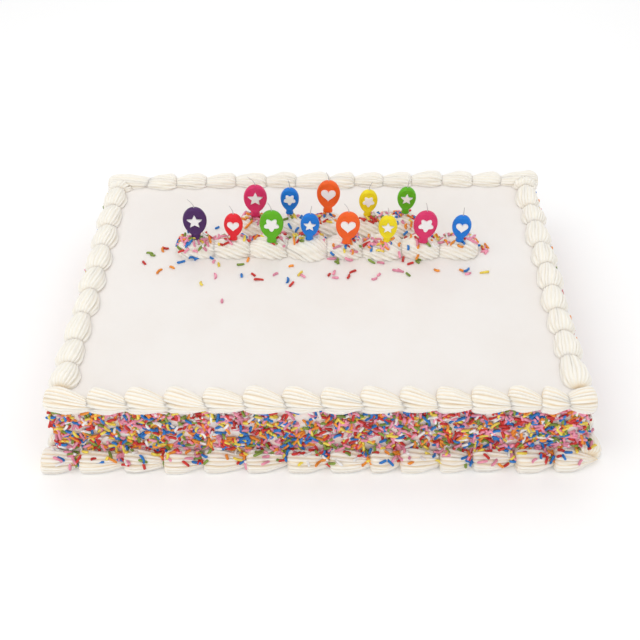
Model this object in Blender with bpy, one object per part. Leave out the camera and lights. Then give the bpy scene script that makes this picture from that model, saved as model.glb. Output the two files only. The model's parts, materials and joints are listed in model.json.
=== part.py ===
"""A half-sheet birthday cake: a white iced slab with piped shell borders round its top edge and its
foot, two piped rows on top, sugar strands, and thirteen balloon candles on picks.

Metres, +Z up. The origin is the middle of the flat underside; -Y is the front, with the strands."""

import math
import random

import bmesh
import bpy
from mathutils import Matrix, Vector
from mathutils.bvhtree import BVHTree

# The iced slab
CAKE_WIDTH = 0.405
CAKE_DEPTH = 0.292
CAKE_HEIGHT = 0.065
CORNER_RADIUS = 0.005
TOP_EDGE_RADIUS = 0.003

# Gap that separate solids keep where they touch
GAP = 0.0003

# Shells of piped icing: half width, height above the line they are piped on, depth below it
TOP_SHELL = (0.0116, 0.0110, 0.0112)
TOP_SIDE_SHELL = (0.0127, 0.0125, 0.0098)
BASE_SHELL = (0.0141, 0.0106, 0.0120)
MOUND_SHELL = (0.0158, 0.0155, 0.0060)
SHELL_OVERLAP = 1.40
GROOVE = 0.10

# The lines the borders are piped along: y of the front and back ones, x of the left and right ones, and z
TOP_LINES = (-0.1445, 0.1390, -0.1930, 0.1930)
TOP_LINE_HEIGHT = 0.0640
BASE_LINES = (-0.1505, 0.1490, -0.2040, 0.2070)
BASE_LINE_HEIGHT = 0.0040

# How full the tail of a shell is, from 0, a point, to 1, as full as the head, and how blunt its head is
FAN = (0.16, 0.60)
FOOT_FAN = (0.08, 0.60)
ROUND = (0.32, 0.40)
MOUND = (0.45, 0.0)

# Where the shells of each row start and where the last one ends, in mm along the row; heads come first
TOP_FRONT = (-205, -172, -144, -115, -86, -56, -27, 2, 31, 60, 87, 113, 140, 165, 184, 205)
TOP_BACK = (207, 172, 145, 116, 87, 60, 32, 9, -23, -52, -81, -109, -138, -165, -205)
TOP_LEFT = (-132, -109, -83, -52, -22, 6, 37, 67, 97, 125, 141)
TOP_RIGHT = (-134, -104, -76, -50, -22, 8, 36, 68, 93, 124, 141)
BASE_FRONT = (-217, -187, -152, -121, -90, -57, -25, 8, 39, 62, 93, 118, 151, 181, 216)
BASE_BACK = (217, 185, 154, 124, 92, 60, 28, -2, -34, -66, -96, -127, -158, -187, -217)
BASE_LEFT = (-138, -112, -81, -49, -18, 14, 45, 77, 108, 142)
BASE_RIGHT = (-149, -118, -85, -52, -20, 13, 45, 77, 108, 142)
MOUND_FRONT = (138, 106, 73, 40, 8, -26, -59, -93, -126)
MOUND_BACK = (91, 59, 26, -9, -43, -77)

# The mounds that hold the candles: y at the middle, and how much y grows with x
MOUND_LINES = ((0.0346, -0.019), (0.0650, -0.006))

# Sugar strands
STRAND_LENGTH = 0.0070
STRAND_RADIUS = 0.0011

# Candles: width and height of the wax, from the foot of the neck to the crown
LARGE = (0.0206, 0.0320)
SMALL = (0.0164, 0.0264)
WAX_THICKNESS = 0.0070
WAX_EDGE = 0.0014
MOTIF_DEPTH = 0.0009
PICK_RADIUS = 0.0012
PICK_DEPTH = 0.026
WICK_RADIUS = 0.0005
WICK_LENGTH = 0.0085

WHITE_ICING = (0.93, 0.90, 0.84)
PURPLE = (0.16, 0.04, 0.22)
RED = (0.80, 0.02, 0.02)
GREEN = (0.16, 0.52, 0.02)
BLUE = (0.01, 0.22, 0.72)
ORANGE = (0.93, 0.16, 0.01)
YELLOW = (0.90, 0.72, 0.02)
PINK = (0.76, 0.04, 0.17)

# Each candle: x, y, size, colour, motif, height of bare pick, turn and lean in degrees, wick's sideways lean
CANDLES = (
    (-0.1081, 0.0345, LARGE, PURPLE, "star", 0.0005, 3, 2.5, -0.6),
    (-0.0752, 0.0331, SMALL, RED, "heart", 0.0005, 0, 3.5, -0.4),
    (-0.0420, 0.0301, LARGE, GREEN, "flower", 0.0003, 2, 2.5, -0.4),
    (-0.0094, 0.0322, SMALL, BLUE, "star", 0.0005, -3, 3.5, 0.1),
    (0.0229, 0.0283, LARGE, ORANGE, "heart", 0.0003, 1, 3.5, -0.5),
    (0.0577, 0.0292, SMALL, YELLOW, "star", 0.0004, -2, 1.5, -0.1),
    (0.0888, 0.0279, LARGE, PINK, "flower", 0.0004, 2, 3.5, -0.2),
    (0.1203, 0.0289, SMALL, BLUE, "heart", 0.0005, -4, 2.5, 0.0),
    (-0.0581, 0.0648, LARGE, PINK, "star", 0.0030, 2, 3.5, -0.8),
    (-0.0274, 0.0654, SMALL, BLUE, "flower", 0.0050, 0, 2.5, -0.2),
    (0.0066, 0.0658, LARGE, ORANGE, "heart", 0.0060, -2, 2.5, -0.3),
    (0.0417, 0.0651, SMALL, YELLOW, "flower", 0.0020, 2, 2.5, 0.3),
    (0.0754, 0.0655, SMALL, GREEN, "star", 0.0050, -3, 2.5, 0.1),
)


def clear_scene():
    for obj in list(bpy.data.objects):
        bpy.data.objects.remove(obj, do_unlink=True)


def new_collection(name):
    collection = bpy.data.collections.new(name)
    bpy.context.scene.collection.children.link(collection)
    return collection


def material(name, colour, roughness):
    made = bpy.data.materials.get(name) or bpy.data.materials.new(name)
    made.use_nodes = True
    shader = made.node_tree.nodes["Principled BSDF"]
    shader.inputs["Base Color"].default_value = (*colour, 1.0)
    shader.inputs["Roughness"].default_value = roughness
    return made


def add_object(name, mesh, collection, finish=None):
    obj = bpy.data.objects.new(name, mesh)
    collection.objects.link(obj)
    if finish:
        mesh.materials.clear()
        mesh.materials.append(finish)
    return obj


def object_from_bmesh(name, bm, collection, finish=None):
    mesh = bpy.data.meshes.new(name)
    bm.to_mesh(mesh)
    bm.free()
    return add_object(name, mesh, collection, finish)


def as_mesh(obj, name, collection, finish=None):
    """The evaluated object as a plain mesh object; the old object goes. A curve's caps are welded on."""
    bpy.context.view_layer.update()
    graph = bpy.context.evaluated_depsgraph_get()
    mesh = bpy.data.meshes.new_from_object(obj.evaluated_get(graph))
    mesh.transform(obj.matrix_world)
    if obj.type == "CURVE":
        bm = bmesh.new()
        bm.from_mesh(mesh)
        bmesh.ops.remove_doubles(bm, verts=bm.verts, dist=1e-6)
        bm.to_mesh(mesh)
        bm.free()
    bpy.data.objects.remove(obj, do_unlink=True)
    return add_object(name, mesh, collection, finish)


def fuse(name, pieces, collection, finish):
    """One solid from pieces that overlap."""
    base, *others = pieces
    gathered = new_collection(name + "_pieces")
    for obj in others:
        for home in list(obj.users_collection):
            home.objects.unlink(obj)
        gathered.objects.link(obj)
    join = base.modifiers.new("join", "BOOLEAN")
    join.operation = "UNION"
    join.solver = "MANIFOLD"
    join.operand_type = "COLLECTION"
    join.collection = gathered
    fused = as_mesh(base, name, collection, finish)
    for obj in others:
        bpy.data.objects.remove(obj, do_unlink=True)
    bpy.data.collections.remove(gathered)
    return fused


def cut_with(obj, cutter_collection):
    cut = obj.modifiers.new("cut", "BOOLEAN")
    cut.operation = "DIFFERENCE"
    cut.solver = "MANIFOLD"
    cut.operand_type = "COLLECTION"
    cut.collection = cutter_collection


def cutter_collection(name, objects):
    made = new_collection(name)
    made.hide_render = True
    for obj in objects:
        for home in list(obj.users_collection):
            home.objects.unlink(obj)
        made.objects.link(obj)
        obj.hide_render = True
        obj.display_type = "WIRE"
    return made


def box(name, low, high, collection, finish=None):
    bm = bmesh.new()
    bmesh.ops.create_cube(bm, size=1.0)
    size = Vector(high) - Vector(low)
    middle = (Vector(high) + Vector(low)) / 2
    bmesh.ops.transform(
        bm, matrix=Matrix.Translation(middle) @ Matrix.Diagonal((*size, 1)), verts=bm.verts
    )
    return object_from_bmesh(name, bm, collection, finish)


def teardrop(polar, tail, blunt):
    """Radius of a shell from its tail, at polar 0, to its head, at pi."""
    head = (1 - math.cos(polar)) / 2
    around = max(0.0, math.sin(polar)) ** (1 - blunt * head)
    return around * (tail + (1 - tail) * head) / (0.635 + 0.30 * tail + 0.12 * blunt)


def shell(half_length, size, form, grow, collection):
    """A piped shell: a grooved teardrop, head at -X and tail at +X, piped along z = 0.

    form holds the fullness of the tail, the bluntness of the head, the angle from the top to a ridge, and
    the counts of lobes and rings; grow moves its surface outwards."""
    half_width, rise, drop = size
    tail, blunt, ridge_at, lobes, rings = form
    bm = bmesh.new()
    bmesh.ops.create_uvsphere(bm, u_segments=2 * lobes, v_segments=rings, radius=1.0)
    for vert in bm.verts:
        polar = math.acos(max(-1.0, min(1.0, vert.co.z)))
        polar += 0.6 * blunt * math.sin(polar) * (1 - math.cos(polar))  # the rings gather at a blunt head
        around = math.atan2(vert.co.y, vert.co.x)
        lobe = round((around - ridge_at) / (math.pi / lobes)) % 2
        swell = teardrop(polar, tail, blunt) * (1.0 - GROOVE * lobe)
        up = math.cos(around)
        vert.co = Vector(
            (
                half_length * math.cos(polar),
                half_width * swell * math.sin(around),
                (rise if up > 0 else drop) * swell * up,
            )
        )
    bmesh.ops.reverse_faces(bm, faces=bm.faces)
    bmesh.ops.triangulate(bm, faces=bm.faces)
    bm.normal_update()
    for vert in bm.verts:
        vert.co += vert.normal * grow
    return object_from_bmesh("shell", bm, collection)


def shell_row(name, line, bounds, size, look, collection, finish, grow=0.0):
    """Shells from bound to bound, each head over the tail before it.

    line is a point on the row and the row's direction; look holds the seed, the turn of each shell about
    Z, whether the last shell faces the other way, and the form of a shell. grow makes the same row larger
    all round, as a cutter."""
    point, direction = Vector(line[0]), Vector(line[1]).normalized()
    seed, turn, last_faces_back, form = look
    draw = random.Random(seed)
    sign = 1 if bounds[-1] > bounds[0] else -1
    pieces = []
    for i, (start, end) in enumerate(zip(bounds, bounds[1:])):
        start, end = start / 1000, end / 1000
        scale = [draw.uniform(0.94, 1.04) for _ in range(3)]
        swing = turn + math.radians(draw.uniform(-4, 4))
        last = i == len(bounds) - 2
        faces_back = last and last_faces_back
        reach = abs(end - start) * (1.0 if last and not faces_back else SHELL_OVERLAP)
        sized = [side * by for side, by in zip(size, scale)]
        piece = shell(reach / 2, sized, form, grow, collection)
        place = point + direction * (end - sign * reach / 2 if faces_back else start + sign * reach / 2)
        heading = math.atan2(direction.y * sign, direction.x * sign)
        if faces_back:
            heading, swing = heading + math.pi, -0.5 * swing
        piece.data.transform(Matrix.Translation(place) @ Matrix.Rotation(heading + swing, 4, "Z"))
        pieces.append(piece)
    return fuse(name, pieces, collection, finish)


def strand(length, radius, collection):
    """A sugar strand: a short rod with rounded ends, along X."""
    bm = bmesh.new()
    bmesh.ops.create_uvsphere(bm, u_segments=6, v_segments=3, radius=1.0)
    for vert in bm.verts:
        pole = abs(vert.co.z) > 0.99
        thick = 0.0 if pole else radius
        around = math.atan2(vert.co.y, vert.co.x)
        reach = length / 2 - (0.0 if pole else 0.6 * radius)
        vert.co = Vector(
            (math.copysign(reach, vert.co.z), thick * math.cos(around), thick * math.sin(around))
        )
    return object_from_bmesh("strand", bm, collection)


def lay_strand(point, normal, spin, draw, collection):
    """A strand that lies on a surface at point, sunk by a third of its thickness."""
    piece = strand(STRAND_LENGTH * draw.uniform(0.8, 1.15), STRAND_RADIUS, collection)
    frame = Vector(normal).to_track_quat("Z", "Y").to_matrix().to_4x4()
    lift = Matrix.Translation((0, 0, STRAND_RADIUS * 0.35))
    piece.data.transform(Matrix.Translation(point) @ frame @ Matrix.Rotation(spin, 4, "Z") @ lift)
    return piece


def surface(obj):
    """A tree for rays against the finished surface of an object."""
    bpy.context.view_layer.update()
    return BVHTree.FromObject(obj, bpy.context.evaluated_depsgraph_get())


def band_strands(collection):
    """Strands in even columns over the bare band of all four sides."""
    draw = random.Random(11)
    low, high, rows = 0.0180, 0.0520, 2
    sides = (
        ((0, -1, 0), CAKE_WIDTH, CAKE_DEPTH, 11),
        ((0, 1, 0), CAKE_WIDTH, CAKE_DEPTH, 6),
        ((-1, 0, 0), CAKE_DEPTH, CAKE_WIDTH, 5),
        ((1, 0, 0), CAKE_DEPTH, CAKE_WIDTH, 5),
    )
    pieces = []
    for outward, width, across, columns in sides:
        outward = Vector(outward)
        along = Vector((0, 0, 1)).cross(outward)
        for i in range(columns):
            for k in range(rows):
                x = (i + 0.5 + draw.uniform(-0.25, 0.25)) / columns - 0.5
                z = low + (k + 0.5 + draw.uniform(-0.25, 0.25)) / rows * (high - low)
                spin = draw.uniform(0, math.pi)
                point = along * x * (width - 4 * CORNER_RADIUS) + outward * across / 2
                pieces.append(lay_strand(point + Vector((0, 0, z)), outward, spin, draw, collection))
    return pieces


def loose_top_strands(collection):
    """Strands that fell on the flat top in front of the mounds."""
    draw = random.Random(5)
    pieces = []
    for i in range(8):
        x = -0.150 + 0.290 * (i + draw.uniform(0.2, 0.8)) / 8
        y = 0.003 - 0.012 * (i % 2) + draw.uniform(-0.004, 0.004)
        pieces.append(
            lay_strand((x, y, CAKE_HEIGHT), (0, 0, 1), draw.uniform(0, math.pi), draw, collection)
        )
    return pieces


def strands_on(obj, spots, seed, collection):
    """Strands laid where rays from above meet an object, at each x, y spot."""
    draw = random.Random(seed)
    tree = surface(obj)
    pieces = []
    for x, y in spots:
        point, normal, _, _ = tree.ray_cast(Vector((x, y, 0.2)), Vector((0, 0, -1)))
        if point is not None:
            pieces.append(lay_strand(point, normal, draw.uniform(0, math.pi), draw, collection))
    return pieces


def iced_cake(collection, finish):
    """The slab with rounded corners, and the strands pressed into its sides and fallen on its top."""
    slab = box(
        "slab",
        (-CAKE_WIDTH / 2, -CAKE_DEPTH / 2, 0),
        (CAKE_WIDTH / 2, CAKE_DEPTH / 2, CAKE_HEIGHT),
        collection,
    )
    bm = bmesh.new()
    bm.from_mesh(slab.data)
    upright = [e for e in bm.edges if abs(e.verts[0].co.z - e.verts[1].co.z) > 0.01]
    bmesh.ops.bevel(bm, geom=upright, offset=CORNER_RADIUS, segments=3, profile=0.5, affect="EDGES")
    rim = [e for e in bm.edges if min(v.co.z for v in e.verts) > CAKE_HEIGHT - 1e-6]
    bmesh.ops.bevel(bm, geom=rim, offset=TOP_EDGE_RADIUS, segments=1, profile=0.5, affect="EDGES")
    bm.to_mesh(slab.data)
    bm.free()
    strands = band_strands(collection) + loose_top_strands(collection)
    return fuse("iced_cake", [slab, *strands], collection, finish)


def border(rows, sizes, height, collection, finish, room, strewn=()):
    """Four rows round the cake: the front and back ones whole, the sides cut to meet them.

    Strands lie on the first row at the x, y spots in strewn."""
    ends = []
    size, side_size = sizes
    for name, at, bounds, look in rows[:2]:
        line = ((0, at, height), (1, 0, 0))
        ends.append(shell_row(name + "_room", line, bounds, size, look, collection, None, grow=2.5 * GAP))
        row = shell_row(name, line, bounds, size, look, collection, finish)
        if strewn and name == rows[0][0]:
            row = fuse(name, [row, *strands_on(row, strewn, look[0] + 40, collection)], collection, finish)
        cut_with(row, room)
    end_room = cutter_collection(rows[0][0] + "_end_cutters", ends)
    for name, at, bounds, look in rows[2:]:
        line = ((at, 0, height), (0, 1, 0))
        row = shell_row(name, line, bounds, side_size, look, collection, finish)
        cut_with(row, end_room)
        cut_with(row, room)


def top_borders(collection, finish, room):
    """Shells on the top edge; those along the front slant down over it."""
    front, back, left, right = TOP_LINES
    rows = (
        ("top_border_front", front, TOP_FRONT, (21, -math.radians(13), True, (*FAN, math.pi / 2, 6, 4))),
        ("top_border_back", back, TOP_BACK, (22, 0, True, (*ROUND, math.pi / 2, 4, 4))),
        ("top_border_left", left, TOP_LEFT, (23, 0, False, (*ROUND, math.pi / 2, 5, 4))),
        ("top_border_right", right, TOP_RIGHT, (24, 0, False, (*ROUND, math.pi / 2, 5, 4))),
    )
    border(rows, (TOP_SHELL, TOP_SIDE_SHELL), TOP_LINE_HEIGHT, collection, finish, room)


def base_borders(collection, finish, room):
    """Larger shells round the foot, against the sides and on the ground."""
    front, back, left, right = BASE_LINES
    rows = (
        ("base_border_front", front, BASE_FRONT, (31, 0, False, (*FOOT_FAN, math.pi / 2, 5, 4))),
        ("base_border_back", back, BASE_BACK, (32, 0, False, (*FOOT_FAN, math.pi / 2, 4, 4))),
        ("base_border_left", left, BASE_LEFT, (33, 0, False, (*FOOT_FAN, math.pi / 2, 4, 4))),
        ("base_border_right", right, BASE_RIGHT, (34, 0, False, (*FOOT_FAN, math.pi / 2, 4, 4))),
    )
    strewn = [((a + 10) / 1000, front - 0.001 - 0.003 * (i % 2)) for i, a in enumerate(BASE_FRONT[1:14:2])]
    border(rows, (BASE_SHELL, BASE_SHELL), BASE_LINE_HEIGHT, collection, finish, room, strewn)


def mounds(collection, finish, room):
    """The two piped rows on top, heads at the right, with strands in their hollows."""
    made = []
    named = (("mound_front", MOUND_FRONT, 51), ("mound_back", MOUND_BACK, 52))
    for (name, bounds, seed), (y, slope) in zip(named, MOUND_LINES):
        line = ((0, y, CAKE_HEIGHT), (1, slope, 0))
        form = (*MOUND, 0, 6, 4)
        row = shell_row(name, line, bounds, MOUND_SHELL, (seed, 0, True, form), collection, finish)
        spots = [((a + b) / 2000, y - 0.009 + slope * (a + b) / 2000) for a, b in zip(bounds, bounds[1:])]
        row = fuse(name, [row, *strands_on(row, spots, seed + 10, collection)], collection, finish)
        cut_with(row, room)
        made.append(row)
    return made


def balloon_outline(width, height):
    """Half outline of a balloon and its neck, from the notch at the crown down to the foot."""
    neck = 0.18 * width
    neck_height = 0.12 * height
    middle = (height + neck_height) / 2
    tall = (height - neck_height) / 2
    points = [(0.0, height - 0.0010)]
    for i in range(7):
        a = math.radians(14 + 23 * i)
        points.append((width / 2.01 * math.sin(a) * (1 + 0.06 * math.cos(a)), middle + tall * math.cos(a)))
    points.append((neck, neck_height * 0.95))
    points.append((neck * 1.18, 0.0))
    return points


def star_outline(size):
    return [
        (
            size * (1.0 if i % 2 == 0 else 0.46) * math.sin(math.pi * i / 5),
            size * (1.0 if i % 2 == 0 else 0.46) * math.cos(math.pi * i / 5),
        )
        for i in range(10)
    ]


def heart_outline(size):
    points = []
    for i in range(12):
        a = 2 * math.pi * i / 12
        across = 16 * math.sin(a) ** 3
        up = 13 * math.cos(a) - 5 * math.cos(2 * a) - 2 * math.cos(3 * a) - math.cos(4 * a)
        points.append((across * size / 17, up * size / 17))
    return points


def flower_outline(size):
    points = []
    for i in range(15):
        a = 2 * math.pi * i / 15
        reach = size * (0.62 if i % 3 == 0 else 0.98)
        points.append((reach * math.sin(a), reach * math.cos(a)))
    return points


MOTIFS = {"star": star_outline, "heart": heart_outline, "flower": flower_outline}


def flat_solid(outline, half_thickness, edge, collection):
    """A closed outline in X and Z, given thickness along Y, with chamfered edges where edge isn't 0."""
    curve = bpy.data.curves.new("outline", "CURVE")
    curve.dimensions = "2D"
    curve.fill_mode = "BOTH"
    curve.extrude = half_thickness - edge
    curve.bevel_depth = edge
    curve.bevel_resolution = 0
    curve.offset = -edge
    spline = curve.splines.new("POLY")
    spline.points.add(len(outline) - 1)
    for point, (x, z) in zip(spline.points, outline):
        point.co = (x, z, 0, 1)
    spline.use_cyclic_u = True
    obj = bpy.data.objects.new("outline", curve)
    obj.rotation_euler = (math.pi / 2, 0, 0)
    collection.objects.link(obj)
    return as_mesh(obj, "outline", collection)


def wax_balloon(name, width, height, motif, collection, finish):
    """The balloon-shaped wax with its raised motif, its foot at the origin and its face towards -Y."""
    half = balloon_outline(width, height)
    outline = half + [(-x, z) for x, z in reversed(half) if x > 0]
    body = flat_solid(outline, WAX_THICKNESS / 2, WAX_EDGE, collection)
    mark = flat_solid(MOTIFS[motif](0.33 * width), WAX_THICKNESS / 2, 0.0, collection)
    mark.data.transform(Matrix.Translation((0, -MOTIF_DEPTH, 0.60 * height)))
    return fuse(name, [body, mark], collection, finish)


def pick(name, foot, top, collection, finish):
    """A plastic pick, pointed at its foot."""
    bm = bmesh.new()
    long = top - foot
    point = 0.005
    bmesh.ops.create_cone(
        bm, cap_ends=True, segments=6, radius1=PICK_RADIUS, radius2=PICK_RADIUS, depth=long
    )
    for vert in bm.verts:
        vert.co.z += foot + long / 2
    ground = [v for v in bm.verts if v.co.z < foot + long / 2]
    for vert in ground:
        vert.co.x *= 0.25
        vert.co.y *= 0.25
    bmesh.ops.bisect_plane(
        bm, geom=bm.verts[:] + bm.edges[:] + bm.faces[:], plane_co=(0, 0, foot + point), plane_no=(0, 0, 1)
    )
    for vert in bm.verts:
        if abs(vert.co.z - foot - point) < 1e-6:
            flat = math.hypot(vert.co.x, vert.co.y)
            vert.co.x *= PICK_RADIUS / flat
            vert.co.y *= PICK_RADIUS / flat
    return object_from_bmesh(name, bm, collection, finish)


def wick(name, lean, collection, finish):
    """A bent wick, from the origin up."""
    curve = bpy.data.curves.new(name, "CURVE")
    curve.dimensions = "3D"
    curve.bevel_depth = WICK_RADIUS
    curve.bevel_resolution = 0
    curve.use_fill_caps = True
    spline = curve.splines.new("POLY")
    spline.points.add(3)
    for i, point in enumerate(spline.points):
        t = i / 3
        point.co = (lean * WICK_LENGTH * t * t, 0.1 * WICK_LENGTH * t, WICK_LENGTH * t, 1)
    obj = bpy.data.objects.new(name, curve)
    collection.objects.link(obj)
    return as_mesh(obj, name, collection, finish)


def highest_under(tree, x, y, radius):
    """Greatest height of the icing under a disc at x, y."""
    heights = []
    for i in range(8):
        for share in (0.0, 0.6, 1.0):
            a = math.pi * i / 4
            origin = Vector((x + share * radius * math.cos(a), y + share * radius * math.sin(a), 0.2))
            point, _, _, _ = tree.ray_cast(origin, Vector((0, 0, -1)))
            heights.append(point.z if point is not None else CAKE_HEIGHT)
    return max(heights)


def candles(collection, rows, plastic, thread):
    """Each candle stands over its row on its pick, which goes down into the cake."""
    trees = [surface(row) for row in rows]
    for i, (x, y, size, colour, motif, bare, turn, lean, wick_lean) in enumerate(CANDLES, 1):
        width, height = size
        foot = max(highest_under(tree, x, y, 0.24 * width) for tree in trees) + bare + GAP
        tag = f"{i:02d}"
        stand = Matrix.Translation((x, y, foot)) @ Matrix.Rotation(math.radians(turn), 4, "Z")
        tip = Matrix.Rotation(math.radians(lean), 4, "Y")
        wax = wax_balloon(
            "candle_" + tag, width, height, motif, collection, material("wax_" + tag, colour, 0.35)
        )
        wax.data.transform(stand @ tip)
        stick = pick("pick_" + tag, -(foot - CAKE_HEIGHT) - PICK_DEPTH, -1.4 * GAP, collection, plastic)
        stick.data.transform(stand)
        string = wick("wick_" + tag, wick_lean, collection, thread)
        crown = Matrix.Translation((0, 0, height - 0.0010 + 2 * GAP))
        string.data.transform(stand @ tip @ crown)


def sockets(collection):
    """Round cutters where the picks pass through the rows and into the cake."""
    made = []
    for x, y, *_ in CANDLES:
        bm = bmesh.new()
        radius = PICK_RADIUS + GAP
        depth = PICK_DEPTH + 0.040
        bmesh.ops.create_cone(bm, cap_ends=True, segments=6, radius1=radius, radius2=radius, depth=depth)
        middle = CAKE_HEIGHT - PICK_DEPTH - GAP + depth / 2
        bmesh.ops.translate(bm, verts=bm.verts, vec=(x, y, middle))
        made.append(object_from_bmesh("socket", bm, collection))
    return made


def main():
    clear_scene()
    model = new_collection("birthday_cake")
    icing = material("white_icing", WHITE_ICING, 0.5)
    cream = material("piped_icing", WHITE_ICING, 0.5)
    plastic = material("pick_plastic", (0.86, 0.86, 0.86), 0.3)
    thread = material("wick_thread", (0.80, 0.77, 0.72), 0.8)

    socket_cutters = cutter_collection("socket_cutters", sockets(model))
    slab_room = box(
        "slab_room",
        (-CAKE_WIDTH / 2 - GAP, -CAKE_DEPTH / 2 - GAP, -0.050),
        (CAKE_WIDTH / 2 + GAP, CAKE_DEPTH / 2 + GAP, CAKE_HEIGHT + GAP),
        model,
    )
    ground = box("ground", (-0.3, -0.3, -0.060), (0.3, 0.3, 0.0), model)
    joined = fuse("slab_and_ground_room", [slab_room, ground], model, None)
    room = cutter_collection("room_cutters", [joined])

    cut_with(iced_cake(model, icing), socket_cutters)
    top_borders(model, cream, room)
    base_borders(model, cream, room)
    rows = mounds(model, cream, room)
    candles(model, rows, plastic, thread)
    for row in rows:
        cut_with(row, socket_cutters)


main()
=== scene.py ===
import json
import math
import random

import bmesh
import bpy
from mathutils import Matrix, Vector, noise
from mathutils.bvhtree import BVHTree

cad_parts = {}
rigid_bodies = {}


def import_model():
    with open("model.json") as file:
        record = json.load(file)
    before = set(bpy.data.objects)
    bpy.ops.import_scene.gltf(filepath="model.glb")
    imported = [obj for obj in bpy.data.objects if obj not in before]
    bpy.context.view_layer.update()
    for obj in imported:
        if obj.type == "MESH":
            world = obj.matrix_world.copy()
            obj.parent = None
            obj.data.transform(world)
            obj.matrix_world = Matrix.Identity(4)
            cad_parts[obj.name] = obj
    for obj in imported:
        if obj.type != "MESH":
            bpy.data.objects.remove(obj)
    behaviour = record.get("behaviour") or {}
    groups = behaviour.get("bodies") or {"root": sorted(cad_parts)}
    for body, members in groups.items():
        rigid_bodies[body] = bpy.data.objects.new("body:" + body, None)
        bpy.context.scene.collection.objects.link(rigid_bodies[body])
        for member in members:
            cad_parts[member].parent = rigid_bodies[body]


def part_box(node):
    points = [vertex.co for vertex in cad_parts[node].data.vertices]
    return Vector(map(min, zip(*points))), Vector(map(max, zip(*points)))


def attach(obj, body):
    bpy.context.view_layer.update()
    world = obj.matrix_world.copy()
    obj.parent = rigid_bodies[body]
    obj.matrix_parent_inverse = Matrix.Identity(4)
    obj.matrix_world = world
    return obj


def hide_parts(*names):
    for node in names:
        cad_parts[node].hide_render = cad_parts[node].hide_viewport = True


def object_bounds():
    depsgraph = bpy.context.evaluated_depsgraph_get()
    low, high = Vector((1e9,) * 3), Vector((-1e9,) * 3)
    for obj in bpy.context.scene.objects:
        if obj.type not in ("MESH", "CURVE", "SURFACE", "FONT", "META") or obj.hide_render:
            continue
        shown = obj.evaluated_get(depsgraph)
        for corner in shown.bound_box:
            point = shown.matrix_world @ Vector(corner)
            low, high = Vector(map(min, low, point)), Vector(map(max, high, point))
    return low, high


# An iced sheet cake with piped borders, sugar strands and balloon candles. Metres, +Z up, front at -Y.

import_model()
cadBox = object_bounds()
scene = bpy.context.scene

cameraSettings = {
    "place": (0.0137, -0.6229, 0.5844),
    "downDegrees": 42.51,
    "turnDegrees": -1.34,
    "rollDegrees": -1.22,
    "focalPixels": 950.0,
    "frameWidth": 640,
}


def aimCamera():
    s = cameraSettings
    down, turn, roll = (math.radians(s[k]) for k in ("downDegrees", "turnDegrees", "rollDegrees"))
    ahead = Vector((math.sin(turn) * math.cos(down), math.cos(turn) * math.cos(down), -math.sin(down)))
    right = Vector((math.cos(turn), -math.sin(turn), 0))
    up = right.cross(ahead)
    tiltedRight = math.cos(roll) * right + math.sin(roll) * up
    tiltedUp = math.cos(roll) * up - math.sin(roll) * right
    matrix = Matrix((tiltedRight, tiltedUp, -ahead)).transposed().to_4x4()
    matrix.translation = Vector(s["place"])
    camera = bpy.data.cameras.new("camera")
    camera.sensor_width = 36
    camera.lens = s["focalPixels"] / s["frameWidth"] * camera.sensor_width
    camera.clip_start = 0.01
    holder = bpy.data.objects.new("camera", camera)
    holder.matrix_world = matrix
    scene.collection.objects.link(holder)
    scene.camera = holder


lightSettings = {
    "skyStrength": 0.715,
    "lamps": [  # name, place, size, watts, colour
        ("key", (-0.75, -0.30, 1.30), 0.9, 3.8, (1.0, 0.99, 0.97)),
        ("front", (-0.15, -1.30, 0.75), 1.2, 3.0, (1.0, 0.99, 0.98)),
        ("fill", (1.0, -0.5, 0.9), 1.2, 1.2, (0.98, 0.99, 1.0)),
        ("top", (0.1, 0.7, 1.2), 1.0, 3.0, (1.0, 1.0, 1.0)),
    ],
    "aim": (0, 0, 0.03),
    "floorColour": (0.98, 0.98, 0.98),
    "floorGlow": 0.05,
    "floorHalfWidth": 6.0,
}


def lightStage():
    sky = bpy.data.worlds.new("sky")
    sky.use_nodes = True
    background = sky.node_tree.nodes["Background"]
    background.inputs["Color"].default_value = (1, 1, 1, 1)
    background.inputs["Strength"].default_value = lightSettings["skyStrength"]
    scene.world = sky
    for name, place, size, watts, colour in lightSettings["lamps"]:
        lamp = bpy.data.lights.new(name, "AREA")
        lamp.size = size
        lamp.energy = watts
        lamp.color = colour
        holder = bpy.data.objects.new(name, lamp)
        holder.location = place
        towards = Vector(lightSettings["aim"]) - Vector(place)
        holder.rotation_euler = towards.to_track_quat("-Z", "Y").to_euler()
        scene.collection.objects.link(holder)
    scene.view_settings.view_transform = "Standard"
    half = lightSettings["floorHalfWidth"]
    mesh = bpy.data.meshes.new("floor")
    corners = [(-half, -half, 0), (half, -half, 0), (half, half, 0), (-half, half, 0)]
    mesh.from_pydata(corners, [], [(0, 1, 2, 3)])
    floor = bpy.data.objects.new("floor", mesh)
    scene.collection.objects.link(floor)
    look, _, shader = newMaterial("floorLook", lightSettings["floorColour"], 0.9)
    shader.inputs["Specular IOR Level"].default_value = 0.1
    shader.inputs["Emission Color"].default_value = (1, 1, 1, 1)
    shader.inputs["Emission Strength"].default_value = lightSettings["floorGlow"]
    mesh.materials.append(look)


def newMaterial(name, colour, roughness):
    look = bpy.data.materials.new(name)
    look.use_nodes = True
    shader = look.node_tree.nodes["Principled BSDF"]
    shader.inputs["Base Color"].default_value = (*colour, 1)
    shader.inputs["Roughness"].default_value = roughness
    return look, look.node_tree, shader


def objectNoise(tree, scale, detail, roughness=0.5):
    coordinates = tree.nodes.new("ShaderNodeTexCoord")
    texture = tree.nodes.new("ShaderNodeTexNoise")
    texture.inputs["Scale"].default_value = scale
    texture.inputs["Detail"].default_value = detail
    texture.inputs["Roughness"].default_value = roughness
    tree.links.new(coordinates.outputs["Object"], texture.inputs["Vector"])
    return texture.outputs["Fac"]


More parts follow.
